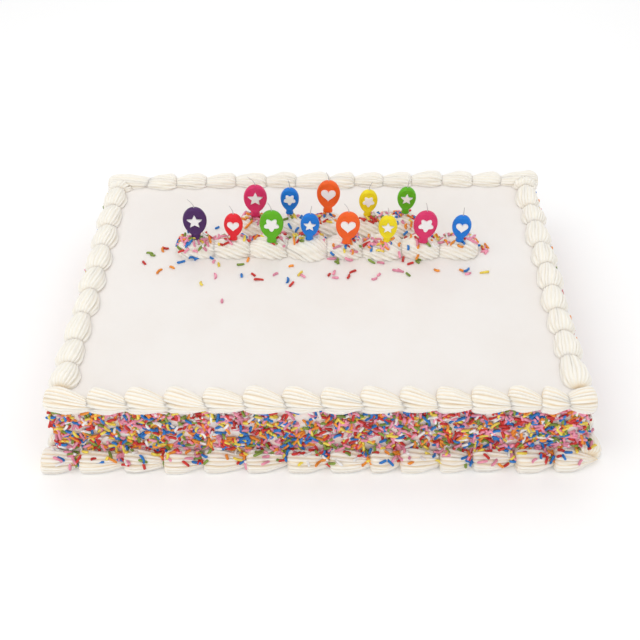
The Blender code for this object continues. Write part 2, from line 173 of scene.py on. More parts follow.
def colourRamp(tree, value, stops):
    node = tree.nodes.new("ShaderNodeValToRGB")
    elements = node.color_ramp.elements
    while len(elements) < len(stops):
        elements.new(0.5)
    for element, (position, colour) in zip(elements, stops):
        element.position = position
        element.color = (*colour, 1)
    tree.links.new(value, node.inputs["Fac"])
    return node.outputs["Color"]


# Each layer is a height, a strength and a distance, laid over the one before
def addBump(tree, shader, layers):
    normal = None
    for height, strength, distance in layers:
        node = tree.nodes.new("ShaderNodeBump")
        node.inputs["Strength"].default_value = strength
        node.inputs["Distance"].default_value = distance
        tree.links.new(height, node.inputs["Height"])
        if normal:
            tree.links.new(normal, node.inputs["Normal"])
        normal = node.outputs["Normal"]
    tree.links.new(normal, shader.inputs["Normal"])


icingSettings = {
    "flatLight": (0.865, 0.832, 0.803),
    "flatDark": (0.847, 0.806, 0.770),
    "bandTint": (0.930, 0.760, 0.680),
    # Piped icing: its own colour on the ridges, then painted shade down the flanks into the grooves, folds
    # and crevices
    "crest": (0.955, 0.900, 0.820),
    "flankShade": (0.930, 0.850, 0.730),
    "grooveShade": (0.860, 0.690, 0.470),
    "tintTop": 0.059,
    "roughness": 0.55,
    "scatter": 0.60,
    "scatterReach": (0.0034, 0.0034, 0.0034),
}


def letLightIn(shader, weight, reach):
    shader.inputs["Subsurface Weight"].default_value = weight
    shader.inputs["Subsurface Radius"].default_value = reach
    shader.inputs["Subsurface Scale"].default_value = 1.0


def giveGloss(shader, s):
    shader.inputs["Specular IOR Level"].default_value = s["specular"]
    shader.inputs["Coat Weight"].default_value = s["coat"]
    shader.inputs["Coat Roughness"].default_value = s["coatRoughness"]


# Smoothed buttercream with faint clouds of colour, knife waves and pores, and warm pink spots below the top
# of the band of strands
def flatIcing():
    s = icingSettings
    look, tree, shader = newMaterial("flatIcing", s["flatLight"], s["roughness"])
    cloud = objectNoise(tree, 14, 4)
    plain = colourRamp(tree, cloud, [(0.35, s["flatDark"]), (0.6, s["flatLight"])])
    coordinates = tree.nodes.new("ShaderNodeTexCoord")
    apart = tree.nodes.new("ShaderNodeSeparateXYZ")
    low = tree.nodes.new("ShaderNodeMapRange")
    for name, value in (("From Min", s["tintTop"] + 0.002), ("From Max", s["tintTop"] - 0.002)):
        low.inputs[name].default_value = value
    tint = tree.nodes.new("ShaderNodeMix")
    tint.data_type = "RGBA"
    tree.links.new(coordinates.outputs["Object"], apart.inputs["Vector"])
    tree.links.new(apart.outputs["Z"], low.inputs["Value"])
    tree.links.new(low.outputs["Result"], tint.inputs["Factor"])
    # A Mix node has its colours at inputs 6 and 7 and at output 2
    tree.links.new(plain, tint.inputs[6])
    spots = colourRamp(tree, objectNoise(tree, 160, 3), [(0.35, s["bandTint"]), (0.65, s["flatLight"])])
    tree.links.new(spots, tint.inputs[7])
    tree.links.new(tint.outputs[2], shader.inputs["Base Color"])
    shader.inputs["Specular IOR Level"].default_value = 0.3
    letLightIn(shader, s["scatter"], s["scatterReach"])
    waves, pores = objectNoise(tree, 45, 3), objectNoise(tree, 900, 2)
    addBump(tree, shader, [(waves, 0.25, 0.002), (pores, 0.25, 0.0003)])
    return look


# Piped buttercream with painted shade: darker and warmer where the ridge attribute is low, in grooves,
# folds and the crevices under the heads of shells
def pipedIcing():
    s = icingSettings
    look, tree, shader = newMaterial("pipedIcing", s["crest"], 0.5)
    ridge = tree.nodes.new("ShaderNodeAttribute")
    ridge.attribute_name = "ridge"
    stops = [(0.0, s["grooveShade"]), (0.45, s["flankShade"]), (0.85, s["crest"])]
    tree.links.new(colourRamp(tree, ridge.outputs["Fac"], stops), shader.inputs["Base Color"])
    shader.inputs["Specular IOR Level"].default_value = 0.35
    letLightIn(shader, s["scatter"], s["scatterReach"])
    crumb, pores = objectNoise(tree, 240, 4, 0.65), objectNoise(tree, 1400, 2)
    addBump(tree, shader, [(crumb, 0.45, 0.0009), (pores, 0.3, 0.0002)])
    return look


def addPiece(name, mesh, look, slot, *nodes):
    piece = bpy.data.objects.new(name, mesh)
    scene.collection.objects.link(piece)
    mesh.materials.clear()
    mesh.materials.append(look)
    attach(piece, "root")
    if nodes:
        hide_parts(*nodes)
    return piece


# A closed mesh from rings of equal length with a point at each end
def meshFromRings(name, rings, firstPole, lastPole):
    points = [firstPole] + [p for ring in rings for p in ring] + [lastPole]
    count = len(rings[0])
    last = 1 + (len(rings) - 1) * count
    faces = []
    for i in range(count):
        j = (i + 1) % count
        faces.append((0, 1 + j, 1 + i))
        for k in range(len(rings) - 1):
            a, b = 1 + k * count, 1 + (k + 1) * count
            faces.append((a + i, a + j, b + j, b + i))
        faces.append((last + i, last + j, len(points) - 1))
    mesh = bpy.data.meshes.new(name)
    mesh.from_pydata([tuple(p) for p in points], [], faces)
    outward = bmesh.new()
    outward.from_mesh(mesh)
    bmesh.ops.recalc_face_normals(outward, faces=outward.faces)
    if outward.calc_volume(signed=True) < 0:
        bmesh.ops.reverse_faces(outward, faces=outward.faces)
    outward.to_mesh(mesh)
    outward.free()
    mesh.shade_smooth()
    return mesh


# The mesh of a piece with its modifiers done; the piece itself goes
def plainMesh(piece):
    bpy.context.view_layer.update()
    graph = bpy.context.evaluated_depsgraph_get()
    mesh = bpy.data.meshes.new_from_object(piece.evaluated_get(graph))
    bpy.data.objects.remove(piece, do_unlink=True)
    mesh.shade_smooth()
    return mesh


# Presses what would stand out of the model's own box back in, softly over the last two millimetres
def holdInside(mesh, margin=0.0001, soft=0.0020):
    low, high = cadBox
    for vert in mesh.vertices:
        for axis in range(3):
            first, last = low[axis] + margin + soft, high[axis] - margin - soft
            value = vert.co[axis]
            if value < first:
                vert.co[axis] = first - soft * (1 - math.exp((value - first) / soft))
            elif value > last:
                vert.co[axis] = last + soft * (1 - math.exp((last - value) / soft))


def angles(count):
    return [2 * math.pi * i / count for i in range(count)]


slabSettings = {
    "halfWidth": 0.2025,
    "halfDepth": 0.1460,
    "height": 0.0650,
    "cornerRadius": 0.0050,
    "topEdgeRadius": 0.0030,
    "unevenness": 0.0006,
    "waveScales": (22.0, 60.0),
    "gridStep": 0.0080,
}


def icedSlab(look):
    s = slabSettings
    longWaves, shortWaves = s["waveScales"]
    body = bmesh.new()
    bmesh.ops.create_cube(body, size=1.0)
    for vert in body.verts:
        vert.co.x *= 2 * s["halfWidth"]
        vert.co.y *= 2 * s["halfDepth"]
        vert.co.z = (vert.co.z + 0.5) * s["height"]
    upright = [e for e in body.edges if abs(e.verts[0].co.z - e.verts[1].co.z) > 0.01]
    bmesh.ops.bevel(body, geom=upright, offset=s["cornerRadius"], segments=6, profile=0.5, affect="EDGES")
    rim = [e for e in body.edges if min(v.co.z for v in e.verts) > s["height"] - 1e-6]
    bmesh.ops.bevel(body, geom=rim, offset=s["topEdgeRadius"], segments=3, profile=0.5, affect="EDGES")
    for direction, first, last in (
        (Vector((1, 0, 0)), -s["halfWidth"], s["halfWidth"]),
        (Vector((0, 1, 0)), -s["halfDepth"], s["halfDepth"]),
        (Vector((0, 0, 1)), 0.0, s["height"]),
    ):
        for i in range(1, int((last - first) / s["gridStep"]) + 1):
            geometry = body.verts[:] + body.edges[:] + body.faces[:]
            place = direction * (first + i * s["gridStep"])
            bmesh.ops.bisect_plane(body, geom=geometry, plane_co=place, plane_no=direction)
    for vert in body.verts:
        if vert.co.z < 1e-6:
            continue
        waves = noise.noise(vert.co * longWaves) + 0.5 * noise.noise(vert.co * shortWaves)
        inward = -abs(waves) * s["unevenness"]
        if vert.co.z > s["height"] - 0.001:
            vert.co.z += inward
        else:
            across = Vector((vert.co.x / s["halfWidth"], vert.co.y / s["halfDepth"], 0))
            vert.co += across.normalized() * inward
    mesh = bpy.data.meshes.new("icedSlab")
    body.to_mesh(mesh)
    body.free()
    mesh.shade_smooth()
    return addPiece("icedSlab", mesh, look, "icing", "iced_cake")


# Forms: number of ridges, fullness of the tail, bluntness of the head, twist in radians from tail to head,
# depth of the grooves, and how much painted shade shows in the grooves and folds
shellSettings = {
    "pointsPerRidge": 6,
    "rings": 28,
    "grooveStrength": (0.50, 1.40),
    "ridgeDrift": 0.14,
    "twistShare": (0.7, 1.3),
    "bend": 0.05,
    "foldAt": 1.16,
    "foldDrift": 0.12,
    "foldWidth": 0.11,
    "foldDepth": 0.10,
    "unevenness": 0.09,
    "crumb": 0.012,
    "overlap": 1.40,
    "kindsOfEach": 6,
    "forms": {
        "front": (18, 0.16, 0.56, 0.12, 0.15, 1.00),
        "edge": (20, 0.32, 0.40, 0.80, 0.10, 0.50),
        "base": (18, 0.06, 0.56, 0.18, 0.20, 1.00),
        "mound": (20, 0.40, 0.10, 2.40, 0.11, 0.45),
    },
}


# Radius of a shell from its tail, at polar 0, to its head, at pi
def teardrop(polar, tail, blunt):
    head = (1 - math.cos(polar)) / 2
    around = max(0.0, math.sin(polar)) ** (1 - blunt * head)
    return around * (tail + (1 - tail) * head) / (0.635 + 0.30 * tail + 0.12 * blunt)


def ease(value, first, last):
    share = max(0.0, min(1.0, (value - first) / (last - first)))
    return share * share * (3 - 2 * share)


# A ridged shell of unit half length, half width and height, head at -X and tail at +X
def shellMesh(name, form, seed):
    s = shellSettings
    ridges, tail, blunt, twist, depth, grooveShadeShare = form
    draw = random.Random(seed)
    count = ridges * s["pointsPerRidge"]
    strength = [draw.uniform(*s["grooveStrength"]) for _ in range(ridges)]
    drift = [draw.uniform(-s["ridgeDrift"], s["ridgeDrift"]) for _ in range(ridges)]
    twist *= draw.uniform(*s["twistShare"])
    bend = draw.uniform(-s["bend"], s["bend"])
    foldAt = s["foldAt"] + draw.uniform(-s["foldDrift"], s["foldDrift"])
    shift = Vector((draw.uniform(0, 50), draw.uniform(0, 50), 0))
    rings, ridge = [], []
    for k in range(s["rings"]):
        polar = math.pi * (k + 0.6) / (s["rings"] + 0.2)
        polar += 0.6 * blunt * math.sin(polar) * (1 - math.cos(polar))
        head = (1 - math.cos(polar)) / 2
        swell = teardrop(polar, tail, blunt)
        pastTail, atHead = ease(polar, 0.08 * math.pi, 0.36 * math.pi), ease(polar, 0.84 * math.pi, math.pi)
        tucked = pastTail * (1 - 0.75 * atHead)  # low where a shell tucks under the next one, for painted shade in the crevice
        ring = []
        for i in range(count):
            which, step = divmod(i, s["pointsPerRidge"])
            crest = (1 - abs(2 * step / s["pointsPerRidge"] - 1)) ** 0.7  # 0 in the groove, 1 on the ridge
            around = 2 * math.pi * i / count + (twist + drift[which]) * (polar / math.pi - 1)
            side, up = math.sin(around), math.cos(around)
            low = ease(-up, -0.45, 0.25)  # below the fold the ridges stand out further
            deep = depth * strength[which] * (0.55 + 0.65 * head) * (1 + low)
            fromFold = math.acos(up) - foldAt - 0.25 * math.cos(polar)
            fold = math.exp(-((fromFold / s["foldWidth"]) ** 2))
            swerve = noise.noise(shift + Vector((2.4 * math.cos(polar), 1.6 * up, 1.6 * side)))
            rough = 1 + s["unevenness"] * swerve + draw.uniform(-s["crumb"], s["crumb"])
            radius = swell * (1 - deep * (1 - crest) - s["foldDepth"] * fold) * rough
            ring.append(Vector((math.cos(polar), radius * side + bend * math.sin(polar), radius * up)))
            # Ridge attribute for painted shade: low in the grooves, the fold and where the shell tucks
            # under the next one
            ridge.append(tucked * (1 - grooveShadeShare * (1 - (0.12 + 0.88 * crest) * (1 - 0.6 * fold))))
        rings.append(ring)
    mesh = meshFromRings(name, rings, Vector((1, 0, 0)), Vector((-1, 0, 0)))
    layer = mesh.attributes.new("ridge", "FLOAT", "POINT")
    layer.data.foreach_set("value", [0.0] + ridge + [0.0])
    return mesh


def addInput(tree, label, kind, value=None):
    socket = tree.interface.new_socket(label, in_out="INPUT", socket_type=kind)
    if value is not None:
        socket.default_value = value


def newTree(name):
    tree = bpy.data.node_groups.new(name, "GeometryNodeTree")
    tree.interface.new_socket("Geometry", in_out="OUTPUT", socket_type="NodeSocketGeometry")
    addInput(tree, "Points", "NodeSocketGeometry")
    return tree


def namedAttribute(tree, label, kind):
    node = tree.nodes.new("GeometryNodeInputNamedAttribute")
    node.data_type = kind
    node.inputs["Name"].default_value = label
    return node.outputs["Attribute"]


# A shell on each point, turned and sized by the point's own attributes
def shellTree():
    tree = newTree("shellsOnPoints")
    addInput(tree, "Shell kinds", "NodeSocketCollection")
    addInput(tree, "Icing", "NodeSocketMaterial")
    nodes, link = tree.nodes, tree.links.new
    start, end = nodes.new("NodeGroupInput"), nodes.new("NodeGroupOutput")
    kinds = nodes.new("GeometryNodeCollectionInfo")
    kinds.inputs["Separate Children"].default_value = True
    kinds.inputs["Reset Children"].default_value = True
    place = nodes.new("GeometryNodeInstanceOnPoints")
    place.inputs["Pick Instance"].default_value = True
    realize = nodes.new("GeometryNodeRealizeInstances")
    finish = nodes.new("GeometryNodeSetMaterial")
    link(start.outputs["Points"], place.inputs["Points"])
    link(start.outputs["Shell kinds"], kinds.inputs["Collection"])
    link(kinds.outputs["Instances"], place.inputs["Instance"])
    link(namedAttribute(tree, "turn", "FLOAT_VECTOR"), place.inputs["Rotation"])
    link(namedAttribute(tree, "size", "FLOAT_VECTOR"), place.inputs["Scale"])
    link(namedAttribute(tree, "kind", "INT"), place.inputs["Instance Index"])
    link(place.outputs["Instances"], realize.inputs["Geometry"])
    link(realize.outputs["Geometry"], finish.inputs["Geometry"])
    link(start.outputs["Icing"], finish.inputs["Material"])
    link(finish.outputs["Geometry"], end.inputs["Geometry"])
    return tree


def giveInputs(modifier, values):
    for item in modifier.node_group.interface.items_tree:
        if item.item_type == "SOCKET" and item.in_out == "INPUT" and item.name in values:
            modifier[item.identifier] = values[item.name]


def pointsWith(name, points, attributes):
    mesh = bpy.data.meshes.new(name)
    mesh.from_pydata([tuple(p) for p in points], [], [])
    for label, (kind, values) in attributes.items():
        layer = mesh.attributes.new(label, kind, "POINT")
        if kind == "FLOAT_VECTOR":
            layer.data.foreach_set("vector", [c for v in values for c in v])
        else:
            layer.data.foreach_set("value", list(values))
    holder = bpy.data.objects.new(name, mesh)
    scene.collection.objects.link(holder)
    return holder


# Half width and rise of the shells, and the height of the line they are piped along
rowSettings = {
    "front": {"size": (0.0109, 0.0107), "height": 0.0628},
    "edge": {"size": (0.0120, 0.0118), "height": 0.0640},
    "back": {"size": (0.0107, 0.0113), "height": 0.0640},
    "base": {"size": (0.0135, 0.0108), "height": 0.0040},
    "mound": {"size": (0.0156, 0.0158), "height": 0.0650},
}
# Row: its kind, its axis, y or x of its line, where its shells start and the last one ends in mm,
# heads first, and its seed, turn in degrees and form
pipedRows = {
    "top_border_front": (
        "front", "x", -0.1445,
        (-205, -172, -144, -115, -86, -56, -27, 2, 31, 60, 87, 113, 140, 165, 184, 205), 21, -13, "front",
    ),
    "top_border_back": (
        "back", "x", 0.1390,
        (207, 172, 145, 116, 87, 60, 32, 9, -23, -52, -81, -109, -138, -165, -205), 22, 0, "edge",
    ),
    "top_border_left": (
        "edge", "y", -0.1930, (-132, -109, -83, -52, -22, 6, 37, 67, 97, 125, 141), 23, 0, "edge",
    ),
    "top_border_right": (
        "edge", "y", 0.1930, (-134, -104, -76, -50, -22, 8, 36, 68, 93, 124, 141), 24, 0, "edge",
    ),
    "base_border_front": (
        "base", "x", -0.1505,
        (-217, -187, -152, -121, -90, -57, -25, 8, 39, 62, 93, 118, 151, 181, 216), 31, 0, "base",
    ),
    "base_border_back": (
        "base", "x", 0.1490,
        (217, 185, 154, 124, 92, 60, 28, -2, -34, -66, -96, -127, -158, -187, -217), 32, 0, "base",
    ),
    "base_border_left": (
        "base", "y", -0.2040, (-138, -112, -81, -49, -18, 14, 45, 77, 108, 142), 33, 0, "base",
    ),
    "base_border_right": (
        "base", "y", 0.2070, (-149, -118, -85, -52, -20, 13, 45, 77, 108, 142), 34, 0, "base",
    ),
    "mound_front": ("mound", "x", 0.0346, (138, 106, 73, 40, 8, -26, -59, -93, -126), 51, 0, "mound"),
    "mound_back": ("mound", "x", 0.0650, (91, 59, 26, -9, -43, -77), 52, 0, "mound"),
}
rowSlopes = {"mound_front": -0.019, "mound_back": -0.006}  # rise in y for each metre along x
lastShellFacesBack = {"top_border_front", "top_border_back", "mound_front", "mound_back"}


def rowLine(name):
    kind, axis, line = pipedRows[name][:3]
    height = rowSettings[kind]["height"]
    if axis == "x":
        return Vector((0, line, height)), Vector((1, rowSlopes.get(name, 0), 0)).normalized()
    return Vector((line, 0, height)), Vector((0, 1, 0))


# The same draws as the solid's row, so each shell lies where its solid does
def pipeRow(name, tree, kinds, look):
    kind, _, _, bounds, seed, turn, form = pipedRows[name]
    halfWidth, rise = rowSettings[kind]["size"]
    point, direction = rowLine(name)
    draw = random.Random(seed)
    sign = 1 if bounds[-1] > bounds[0] else -1
    firstKind = list(shellSettings["forms"]).index(form) * shellSettings["kindsOfEach"]
    places, turns, sizes, picks = [], [], [], []
    for i, (start, end) in enumerate(zip(bounds, bounds[1:])):
        start, end = start / 1000, end / 1000
        scale = [draw.uniform(0.94, 1.04) for _ in range(3)]
        swing = math.radians(turn) + math.radians(draw.uniform(-4, 4))
        last = i == len(bounds) - 2
        facesBack = last and name in lastShellFacesBack
        reach = abs(end - start) * (1.0 if last and not facesBack else shellSettings["overlap"])
        heading = math.atan2(direction.y * sign, direction.x * sign)
        if facesBack:
            heading, swing = heading + math.pi, -0.5 * swing
        middle = end - sign * reach / 2 if facesBack else start + sign * reach / 2
        places.append(point + direction * middle)
        turns.append((0, 0, heading + swing))
        sizes.append((reach / 2, halfWidth * scale[0], rise * scale[1]))
        picks.append(firstKind + (i * 5 + seed) % shellSettings["kindsOfEach"])
    holder = pointsWith(
        name + "_points",
        places,
        {"turn": ("FLOAT_VECTOR", turns), "size": ("FLOAT_VECTOR", sizes), "kind": ("INT", picks)},
    )
    modifier = holder.modifiers.new("shells", "NODES")
    modifier.node_group = tree
    giveInputs(modifier, {"Shell kinds": kinds, "Icing": look})
    mesh = plainMesh(holder)
    holdInside(mesh)
    return addPiece(name + "_piping", mesh, look, "piped_icing", name)


def helperCollection(name, meshes):
    collection = bpy.data.collections.new(name)
    for mesh in meshes:
        collection.objects.link(bpy.data.objects.new(mesh.name, mesh))
    return collection


def dropCollection(collection):
    for helper in list(collection.objects):
        bpy.data.objects.remove(helper, do_unlink=True)
    bpy.data.collections.remove(collection)


def pipeAllRows(look):
    meshes = []
    for form in shellSettings["forms"].values():
        for _ in range(shellSettings["kindsOfEach"]):
            meshes.append(shellMesh(f"shell{len(meshes):02d}", form, 70 + len(meshes)))
    kinds = helperCollection("shellKinds", meshes)
    tree = shellTree()
    rows = {name: pipeRow(name, tree, kinds, look) for name in pipedRows}
    dropCollection(kinds)
    print("piped rows:", len(rows))
    return rows


# Neck, motif and its height are shares of the candle's width or height
candleSettings = {
    "large": (0.0206, 0.0320),
    "small": (0.0164, 0.0264),
    "neckWidth": 0.18,
    "neckHeight": 0.12,
    "throatDegrees": 152,
    "eggShape": 0.06,
    "thickness": 0.0070,
    "crownRound": 0.0042,
    "fullness": 2.7,
    "rimWidth": 0.0013,
    "recess": 0.0006,
    "motifShare": 0.33,
    "motifHeight": 0.60,
    "motifDepth": 0.0009,
    "pickRadius": 0.0012,
    "wickRadius": 0.00042,
    "wickLength": 0.0085,
}
waxSettings = {
    "roughness": 0.32,
    "scatter": 0.12,
    "scatterReach": (0.0012, 0.0010, 0.0008),
    "specular": 0.28,
    "coat": 0.10,
    "coatRoughness": 0.15,
    "cloudShade": 0.90,
}
waxColours = {
    "purple": (0.070, 0.016, 0.120),
    "red": (0.85, 0.013, 0.028),
    "green": (0.120, 0.480, 0.006),
    "blue": (0.003, 0.200, 0.720),
    "orange": (0.960, 0.130, 0.012),
    "yellow": (0.900, 0.740, 0.008),
    "pink": (0.740, 0.030, 0.150),
}
# x, y, size, colour, motif, turn and lean in degrees, wick's sideways lean
candleTable = (
    (-0.1081, 0.0345, "large", "purple", "star", 3, 2.5, -0.6),
    (-0.0752, 0.0331, "small", "red", "heart", 0, 3.5, -0.4),
    (-0.0420, 0.0301, "large", "green", "flower", 2, 2.5, -0.4),
    (-0.0094, 0.0322, "small", "blue", "star", -3, 3.5, 0.1),
    (0.0229, 0.0283, "large", "orange", "heart", 1, 3.5, -0.5),
    (0.0577, 0.0292, "small", "yellow", "star", -2, 1.5, -0.1),
    (0.0888, 0.0279, "large", "pink", "flower", 2, 3.5, -0.2),
    (0.1203, 0.0289, "small", "blue", "heart", -4, 2.5, 0.0),
    (-0.0581, 0.0648, "large", "pink", "star", 2, 3.5, -0.8),
    (-0.0274, 0.0654, "small", "blue", "flower", 0, 2.5, -0.2),
    (0.0066, 0.0658, "large", "orange", "heart", -2, 2.5, -0.3),
    (0.0417, 0.0651, "small", "yellow", "flower", 2, 2.5, 0.3),
    (0.0754, 0.0655, "small", "green", "star", -3, 2.5, 0.1),
)


# Half width of the wax at each height, from the foot of the neck to the crown
def balloonProfile(width, height, steps=40):
    s = candleSettings
    neck, neckHeight = s["neckWidth"] * width, s["neckHeight"] * height
    neckTop = neckHeight * 0.95
    middle, tall = (height + neckHeight) / 2, (height - neckHeight) / 2

    def onEgg(a):
        return width / 2.01 * math.sin(a) * (1 + s["eggShape"] * math.cos(a)), middle + tall * math.cos(a)

    lowest = math.radians(s["throatDegrees"])
    lowX, lowZ = onEgg(lowest)
    profile = [(neck * (1.16 - 0.16 * t), neckTop * t) for t in (0.0, 0.3, 0.65, 1.0)]
    for t in (0.25, 0.5, 0.75):  # the throat widens into the balloon
        profile.append((neck + (lowX - neck) * t ** 1.6, neckTop + (lowZ - neckTop) * t))
    for i in range(steps):
        profile.append(onEgg(lowest * (1 - i / steps)))
    return profile


# Slices of a puffed slab, each a rounded oblong, closed at foot and crown. The face lies behind a rim
def balloonMesh(name, width, height):
    s = candleSettings
    half, power = s["thickness"] / 2, 2 / s["fullness"]
    neckHeight = s["neckHeight"] * height
    middle, tall = (height + neckHeight) / 2, (height - neckHeight) / 2
    rings = []
    for x, z in balloonProfile(width, height - 0.0004):
        above = max(0.0, (z - (height - s["crownRound"])) / s["crownRound"])
        slimmed = 0.86 + 0.14 * min(1.0, x / (0.30 * width))  # the neck is a little thinner
        thick = half * math.sqrt(max(0.02, 1 - above * above)) * slimmed
        ring = []
        for a in angles(64):
            across, out = math.cos(a), math.sin(a)
            side = math.copysign(abs(across) ** power, across) * x
            reach = math.hypot(side / (width / 2), (z - middle) / tall)
            inner = ease((1 - reach) * width / 2, s["rimWidth"], s["rimWidth"] + 0.0007)
            depth = math.copysign(abs(out) ** power, out) * thick
            ring.append(Vector((side, depth + (s["recess"] * inner if out < 0 else 0), z)))
        rings.append(ring)
    return meshFromRings(name, rings, Vector((0, 0, 0.0)), Vector((0, 0, height - 0.0005)))


def motifOutline(kind, size):
    points = []
    if kind == "star":
        for i in range(10):
            reach = size * (1.0 if i % 2 == 0 else 0.46)
            points.append((reach * math.sin(math.pi * i / 5), reach * math.cos(math.pi * i / 5)))
    elif kind == "heart":
        for a in angles(36):
            across = 16 * math.sin(a) ** 3
            up = 13 * math.cos(a) - 5 * math.cos(2 * a) - 2 * math.cos(3 * a) - math.cos(4 * a)
            points.append((across * size / 17, up * size / 17))
    else:
        for a in angles(50):
            reach = size * (0.80 - 0.18 * math.cos(5 * a))
            points.append((reach * math.sin(a), reach * math.cos(a)))
    return points


# A raised badge with a soft edge, facing -Y
def motifMesh(name, kind, size, thickness=0.0022, edge=0.0004):
    outline = motifOutline(kind, size)
    half = thickness / 2
    profile = [(share, -half) for share in (0.4, 0.75)]
    for i in range(4):
        a = math.pi / 2 * i / 3
        profile.append((1 - edge / size * (1 - math.sin(a)), -(half - edge) - edge * math.cos(a)))
    profile += [(share, -y) for share, y in reversed(profile)]
    rings = [[Vector((x * share, y, z * share)) for x, z in outline] for share, y in profile]
    return meshFromRings(name, rings, Vector((0, -half, 0)), Vector((0, half, 0)))


def waxLook(name, colour):
    s = waxSettings
    look, tree, shader = newMaterial("wax_" + name, colour, s["roughness"])
    letLightIn(shader, s["scatter"], s["scatterReach"])
    giveGloss(shader, s)
    cloud = objectNoise(tree, 120, 2)
    darker = tuple(c * s["cloudShade"] for c in colour)
    tree.links.new(colourRamp(tree, cloud, [(0.35, darker), (0.65, colour)]), shader.inputs["Base Color"])
    addBump(tree, shader, [(objectNoise(tree, 260, 3), 0.12, 0.0006)])
    return look


def makeCandles(motifLook, plasticLook, wickLook):
    s = candleSettings
    looks = {name: waxLook(name, colour) for name, colour in waxColours.items()}
    for i, (x, y, size, colour, motif, turn, lean, wickLean) in enumerate(candleTable, 1):
        tag = f"{i:02d}"
        width, height = s[size]
        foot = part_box("candle_" + tag)[0].z
        stand = Matrix.Translation((x, y, foot)) @ Matrix.Rotation(math.radians(turn), 4, "Z")
        stand = stand @ Matrix.Rotation(math.radians(lean), 4, "Y")
        wax = balloonMesh("candle_" + tag + "_wax", width, height)
        wax.transform(stand)
        addPiece("candle_" + tag + "_wax", wax, looks[colour], "wax_" + colour, "candle_" + tag)
        badge = motifMesh("candle_" + tag + "_motif", motif, s["motifShare"] * width)
        front = -s["thickness"] / 2 - s["motifDepth"] + 0.0011
        badge.transform(stand @ Matrix.Translation((0, front, s["motifHeight"] * height)))
        addPiece("candle_" + tag + "_motif", badge, motifLook, "wax_" + colour)
        makePick(tag, x, y, plasticLook)
        makeWick(tag, stand @ Matrix.Translation((0, 0, height - 0.0012)), wickLean, wickLook)
    print("candles:", len(candleTable))


# Pointed plastic stick that the wax sits on
def makePick(tag, x, y, look):
    low, high = (corner.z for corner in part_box("pick_" + tag))
    radius = candleSettings["pickRadius"] * 0.98
    rings = []
    for z, share in ((low + 0.0006, 0.25), (low + 0.005, 1.0), (high - 0.0002, 1.0)):
        reach = radius * share
        rings.append([Vector((x + reach * math.cos(a), y + reach * math.sin(a), z)) for a in angles(14)])
    mesh = meshFromRings("pick_" + tag + "_plastic", rings, Vector((x, y, low)), Vector((x, y, high)))
    addPiece("pick_" + tag + "_plastic", mesh, look, "pick_plastic", "pick_" + tag)


# A thin waxed thread, bent, thinner to its frayed end
def makeWick(tag, place, lean, look):
    s = candleSettings
    draw = random.Random(300 + int(tag))
    rings = []
    for k in range(13):
        t = k / 12
        centre = Vector((lean * t * t, 0.1 * t, t)) * s["wickLength"]
        radius = s["wickRadius"] * (1.05 - 0.4 * t) * draw.uniform(0.9, 1.1)
        rings.append([centre + Vector((radius * math.cos(a), radius * math.sin(a), 0)) for a in angles(8)])
    tip = rings[-1][0].lerp(rings[-1][4], 0.5) + Vector((0, 0, 0.0003))
    mesh = meshFromRings("wick_" + tag + "_thread", rings, Vector((0, 0, -0.0002)), tip)
    mesh.transform(place)
    addPiece("wick_" + tag + "_thread", mesh, look, "wick_thread", "wick_" + tag)


strandSettings = {
    "length": 0.0073,
    "radius": 0.00112,
    "shortest": 0.65,
    "longest": 1.25,
    "bends": (0.0, 0.12, 0.3, 0.6),
    "sides": 6,
    "bandLow": 0.0125,
    "bandHigh": 0.0590,
    "edgeWave": 0.003,
    "perSquareMetre": 132000,
    "bareShare": 0.20,
    "patchScale": 110,
    "layers": (0, 0, 0.5, 1.2, 2.0),
    "standsOff": 0.55,
    "seed": 77,
}
sugarSettings = {
    "roughness": 0.40,
    "specular": 0.30,
    "coat": 0.08,
    "coatRoughness": 0.3,
    "darker": 0.78,
    "lighter": 1.12,
}
# Colour: share of all strands, base colour
strandColours = {
    "Pink": (0.24, (0.860, 0.310, 0.430)),
    "Red": (0.16, (0.620, 0.032, 0.024)),
    "Orange": (0.13, (0.940, 0.290, 0.030)),
    "Yellow": (0.12, (0.930, 0.680, 0.090)),
    "Green": (0.10, (0.220, 0.320, 0.045)),
    "Blue": (0.14, (0.018, 0.190, 0.580)),
    "White": (0.11, (0.940, 0.880, 0.850)),
}
# Strands that lie on the flat top, in mm
looseStrands = {
    "Green": ((-150, 31), (-147, 29), (-69, 15), (75, 0)),
    "Orange": ((-139, 36), (-128, 11), (-138, 6), (-25, 12), (100, 6), (121, 5)),
    "Red": ((-153, 18), (-57, 1), (-52, -6), (-24, -12), (8, 0), (28, 4), (24, -2), (-137, 39)),
    "Blue": ((-121, 19), (-67, 0), (-28, -7), (125, 6), (-94, 68)),
    "Yellow": ((-100, -10), (-88, 15), (-17, 2), (140, 2)),
    "Pink": (
        (-81, -33), (-92, 19), (-90, -1), (-38, 1), (-15, -1), (13, -4), (12, 3), (46, -5), (50, 0),
        (66, 5), (69, 5), (126, 1), (145, 36), (145, 30),
    ),
}
